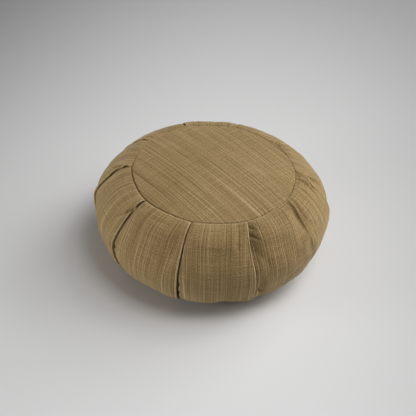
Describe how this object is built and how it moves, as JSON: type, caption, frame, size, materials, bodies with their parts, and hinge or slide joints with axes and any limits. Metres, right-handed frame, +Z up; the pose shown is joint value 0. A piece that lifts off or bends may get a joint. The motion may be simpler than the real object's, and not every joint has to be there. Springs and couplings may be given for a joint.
{
  "type": "zafu meditation cushion",
  "caption": "Round stuffed floor cushion with a flat-crowned round top, a bulging side laid in knife pleats and a flat base to sit on the floor",
  "frame": {"origin": "on the floor, under the middle of the cushion", "axes": "+Z up, the side that the picture shows faces -Y, +X to its right"},
  "size_m": [0.3544, 0.3506, 0.153],
  "materials": {
    "woven_cloth": "matt slubbed plain weave, olive brown"
  },
  "bodies": {
    "root": {"pleated_side": "woven_cloth", "top_panel": "woven_cloth", "bottom_panel": "woven_cloth"}
  },
  "joints": []
}
